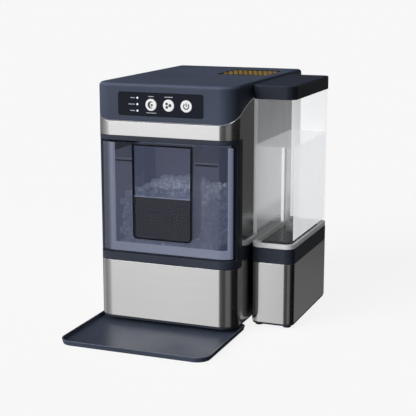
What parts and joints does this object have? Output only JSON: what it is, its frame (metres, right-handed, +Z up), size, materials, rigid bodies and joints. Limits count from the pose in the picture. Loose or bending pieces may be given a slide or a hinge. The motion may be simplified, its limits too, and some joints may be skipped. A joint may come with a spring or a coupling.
{
  "type": "ice maker",
  "caption": "Countertop nugget ice maker: brushed steel cabinet with a pull-out smoked ice drawer, front drip tray and clear side water tank.",
  "frame": {"origin": "under the middle of the whole machine's bounding box, on the surface that it stands on", "axes": "+Z up, -Y out of the front with the drawer and the tray, +X towards the side water tank"},
  "size_m": [0.3382, 0.532, 0.419],
  "materials": {
    "brushed_steel": "vertical brushed grain",
    "navy_cover": "fine satin moulded texture",
    "navy_frame": "satin moulded",
    "gold_mesh": "woven wire screen",
    "gloss_navy": "polished",
    "white_button": "polished white with grey marks",
    "lamp_lens": "frosted lens",
    "circuit_board": "solder mask",
    "dark_liner": "satin",
    "grey_plastic": "satin moulded",
    "rubber": "matt",
    "painted_steel": "fine powder coat",
    "zinc": "zinc plated",
    "black_plastic": "satin",
    "cast_metal": "machined",
    "copper": "drawn tube",
    "black_steel": "gloss enamel",
    "condenser_fins": "rolled fins",
    "white_plastic": "moulded",
    "smoked_plastic": "clear smoked blue grey",
    "clear_plastic": "clear"
  },
  "bodies": {
    "cabinet": {"outer_shell": "brushed_steel", "top_cover": "navy_cover", "vent_grille": "navy_cover", "vent_screen": "gold_mesh", "control_panel": "gloss_navy", "indicator_1": "lamp_lens", "indicator_2": "lamp_lens", "indicator_3": "lamp_lens", "display_board": "circuit_board", "drawer_frame": "navy_frame", "bin_liner": "dark_liner", "drawer_rail_left": "grey_plastic", "drawer_rail_right": "grey_plastic", "base_pan": "navy_frame", "foot_front_left": "rubber", "foot_front_right": "rubber", "foot_rear_left": "rubber", "foot_rear_right": "rubber", "rear_panel": "painted_steel", "rear_screw_1": "zinc", "rear_screw_2": "zinc", "rear_screw_3": "zinc", "rear_screw_4": "zinc", "power_inlet": "black_plastic", "auger_barrel": "brushed_steel", "evaporator_coil": "copper", "extrusion_head": "grey_plastic", "ice_chute": "grey_plastic", "gearbox_case": "cast_metal", "gear_motor": "black_steel", "compressor": "black_steel", "compressor_bracket": "zinc", "condenser": "condenser_fins", "fan_shroud": "black_plastic", "fan_motor": "black_steel", "reservoir": "white_plastic", "main_board": "circuit_board", "led_strip": "lamp_lens", "tank_base_wrap": "brushed_steel", "tank_base_floor": "navy_frame", "base_collar": "navy_frame", "transfer_pump": "black_plastic", "water_coupling": "rubber"},
    "light_button": {"light_button": "white_button"},
    "clean_button": {"clean_button": "white_button"},
    "power_button": {"power_button": "white_button"},
    "drawer": {"drawer_front": "smoked_plastic", "pull_pocket": "smoked_plastic", "bin_frame": "smoked_plastic", "ice_bin": "smoked_plastic"},
    "drip_tray": {"drip_tray": "navy_frame"},
    "auger_drive": {"auger": "cast_metal", "drive_gear": "grey_plastic"},
    "pinion": {"motor_pinion": "cast_metal"},
    "fan": {"fan_rotor": "grey_plastic"},
    "water_tank": {"tank_glass": "clear_plastic", "tank_rim": "grey_plastic", "tank_valve": "white_plastic"},
    "tank_lid": {"tank_lid": "navy_cover"},
    "drain_cap": {"drain_cap": "rubber"}
  },
  "joints": [
    {"name": "light_button_press", "type": "slide", "parent": "cabinet", "child": "light_button", "axis": [0, 1, 0], "range_m": [0, 0.0015], "stiffness_N_per_m": 200},
    {"name": "clean_button_press", "type": "slide", "parent": "cabinet", "child": "clean_button", "axis": [0, 1, 0], "range_m": [0, 0.0015], "stiffness_N_per_m": 200},
    {"name": "power_button_press", "type": "slide", "parent": "cabinet", "child": "power_button", "axis": [0, 1, 0], "range_m": [0, 0.0015], "stiffness_N_per_m": 200},
    {"name": "drawer_slide", "type": "slide", "parent": "cabinet", "child": "drawer", "axis": [0, -1, 0], "range_m": [0, 0.16]},
    {"name": "tray_slide", "type": "slide", "parent": "cabinet", "child": "drip_tray", "axis": [0, -1, 0], "range_m": [0, 0.1]},
    {"name": "auger_spin", "type": "hinge", "parent": "cabinet", "child": "auger_drive", "pos_m": [-0.07915, 0.138, 0.2], "axis": [0, 0, 1], "continuous": true},
    {"name": "pinion_spin", "type": "hinge", "parent": "cabinet", "child": "pinion", "pos_m": [-0.04665, 0.138, 0.189], "axis": [0, 0, 1], "continuous": true},
    {"name": "fan_spin", "type": "hinge", "parent": "cabinet", "child": "fan", "pos_m": [-0.09215, 0.202, 0.1], "axis": [0, 1, 0], "continuous": true},
    {"name": "tank_lift", "type": "slide", "parent": "cabinet", "child": "water_tank", "axis": [0, 0, 1], "range_m": [0, 0.12]},
    {"name": "lid_lift", "type": "slide", "parent": "water_tank", "child": "tank_lid", "axis": [0, 0, 1], "range_m": [0, 0.06]},
    {"name": "drain_pull", "type": "slide", "parent": "cabinet", "child": "drain_cap", "axis": [0, 1, 0], "range_m": [0, 0.03]}
  ],
  "couplings": [
    {"joint": "pinion_spin", "follows": "auger_spin", "ratio": -3.3333}
  ]
}
